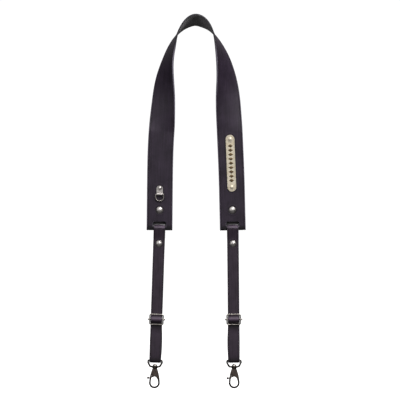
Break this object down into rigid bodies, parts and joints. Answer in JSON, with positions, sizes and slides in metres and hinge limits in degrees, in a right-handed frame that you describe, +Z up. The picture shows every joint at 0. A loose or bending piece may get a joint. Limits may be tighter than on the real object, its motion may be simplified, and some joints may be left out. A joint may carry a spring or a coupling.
{
  "type": "saxophone neck strap",
  "caption": "Leather neck strap with a wide twisted neck band, riveted drop straps, sliders, swivelling snap hooks, a plain name plate and a small accessory ring.",
  "frame": {"origin": "where the wearer's neck bears: the middle of the band's flesh side at the top of the loop", "axes": "+X to the viewer's right across the two legs, +Y away from the viewer, +Z up along the hanging strap"},
  "size_m": [0.1538, 0.04, 0.5794],
  "materials": {
    "band_leather": "satin grain leather, charcoal black, with burnished edges and a grey flesh side",
    "strap_leather": "satin grain leather, charcoal black, creased along both edges",
    "bright_nickel": "polished nickel plate",
    "pale_brass": "pale gold plate with a darker recessed ground",
    "antique_nickel": "antiqued nickel plate, rubbed bright on the bars",
    "dark_nickel": "dark antiqued plate with rubbed highlights",
    "gunmetal": "gunmetal plate over a casting, rubbed warm on the web",
    "antique_copper": "antiqued copper plate",
    "spring_steel": "bare spring wire"
  },
  "bodies": {
    "band": {"neck_band": "band_leather", "band_rivet_cap_left": "bright_nickel", "band_rivet_post_left": "bright_nickel", "band_rivet_cap_right": "bright_nickel", "band_rivet_post_right": "bright_nickel", "name_plate": "pale_brass", "plate_rivet_caps": "pale_brass", "plate_rivet_posts": "pale_brass", "accessory_tab": "bright_nickel", "accessory_rivet_cap": "bright_nickel", "accessory_rivet_post": "bright_nickel"},
    "accessory_ring": {"accessory_ring": "dark_nickel"},
    "strap_left": {"strap_top_left": "strap_leather", "strap_rivet_cap_left": "bright_nickel", "strap_rivet_post_left": "bright_nickel", "strap_run_left": "strap_leather"},
    "slider_left": {"slider_frame_left": "antique_nickel", "slider_pin_left": "antique_nickel", "strap_weave_left": "strap_leather", "strap_end_left": "strap_leather", "end_rivet_cap_left": "bright_nickel", "end_rivet_post_left": "bright_nickel", "strap_front_run_left": "strap_leather", "strap_back_run_left": "strap_leather"},
    "turn_left": {"strap_fold_left": "strap_leather"},
    "hook_loop_left": {"hook_loop_left": "gunmetal"},
    "hook_left": {"swivel_stud_left": "antique_nickel", "hook_body_left": "gunmetal", "gate_pin_left": "antique_nickel", "gate_spring_left": "spring_steel"},
    "gate_left": {"hook_gate_left": "antique_copper"},
    "strap_right": {"strap_top_right": "strap_leather", "strap_rivet_cap_right": "bright_nickel", "strap_rivet_post_right": "bright_nickel", "strap_run_right": "strap_leather"},
    "slider_right": {"slider_frame_right": "antique_nickel", "slider_pin_right": "antique_nickel", "strap_weave_right": "strap_leather", "strap_end_right": "strap_leather", "end_rivet_cap_right": "bright_nickel", "end_rivet_post_right": "bright_nickel", "strap_front_run_right": "strap_leather", "strap_back_run_right": "strap_leather"},
    "turn_right": {"strap_fold_right": "strap_leather"},
    "hook_loop_right": {"hook_loop_right": "gunmetal"},
    "hook_right": {"swivel_stud_right": "antique_nickel", "hook_body_right": "gunmetal", "gate_pin_right": "antique_nickel", "gate_spring_right": "spring_steel"},
    "gate_right": {"hook_gate_right": "antique_copper"}
  },
  "joints": [
    {"name": "accessory_ring_swing", "type": "hinge", "parent": "band", "child": "accessory_ring", "pos_m": [-0.0554, -0.00315, -0.2692], "axis": [-1, 0, 0], "range_deg": [-4, 150]},
    {"name": "strap_swing_left", "type": "hinge", "parent": "band", "child": "strap_left", "pos_m": [-0.0558, 0.00135, -0.3225], "axis": [0.9995, 0, -0.0332], "range_deg": [-110, 100]},
    {"name": "slider_slide_left", "type": "slide", "parent": "strap_left", "child": "slider_left", "axis": [0.0332, 0, 0.9995], "range_m": [-0.064, 0.09], "deforming": ["strap_run_left"]},
    {"name": "strap_take_up_left", "type": "slide", "parent": "slider_left", "child": "turn_left", "axis": [0.0332, 0, 0.9995], "range_m": [-0.0455, 0.0325], "deforming": ["strap_front_run_left", "strap_back_run_left"]},
    {"name": "hook_loop_tilt_left", "type": "hinge", "parent": "turn_left", "child": "hook_loop_left", "pos_m": [-0.06257, 0.00135, -0.52669], "axis": [0.9995, 0, -0.0332], "range_deg": [-80, 80]},
    {"name": "hook_swivel_left", "type": "hinge", "parent": "hook_loop_left", "child": "hook_left", "pos_m": [-0.06297, 0.00135, -0.53868], "axis": [0.0332, 0, 0.9995], "continuous": true},
    {"name": "gate_open_left", "type": "hinge", "parent": "hook_left", "child": "gate_left", "pos_m": [-0.06797, 0.00135, -0.55052], "axis": [0, -1, 0], "range_deg": [0, 30], "stiffness_Nm_per_rad": 0.004, "springref_deg": -22.92},
    {"name": "strap_swing_right", "type": "hinge", "parent": "band", "child": "strap_right", "pos_m": [0.0579, 0.00135, -0.3225], "axis": [1, 0, 0.0087], "range_deg": [-110, 100]},
    {"name": "slider_slide_right", "type": "slide", "parent": "strap_right", "child": "slider_right", "axis": [-0.0087, 0, 1], "range_m": [-0.064, 0.09], "deforming": ["strap_run_right"]},
    {"name": "strap_take_up_right", "type": "slide", "parent": "slider_right", "child": "turn_right", "axis": [-0.0087, 0, 1], "range_m": [-0.0455, 0.0325], "deforming": ["strap_front_run_right", "strap_back_run_right"]},
    {"name": "hook_loop_tilt_right", "type": "hinge", "parent": "turn_right", "child": "hook_loop_right", "pos_m": [0.05968, 0.00135, -0.52679], "axis": [1, 0, 0.0087], "range_deg": [-80, 80]},
    {"name": "hook_swivel_right", "type": "hinge", "parent": "hook_loop_right", "child": "hook_right", "pos_m": [0.05979, 0.00135, -0.53879], "axis": [-0.0087, 0, 1], "continuous": true},
    {"name": "gate_open_right", "type": "hinge", "parent": "hook_right", "child": "gate_right", "pos_m": [0.05529, 0.00135, -0.55083], "axis": [0, -1, 0], "range_deg": [0, 30], "stiffness_Nm_per_rad": 0.004, "springref_deg": -22.92}
  ],
  "couplings": [
    {"joint": "strap_take_up_left", "follows": "slider_slide_left", "ratio": -0.5},
    {"joint": "strap_take_up_right", "follows": "slider_slide_right", "ratio": -0.5}
  ]
}
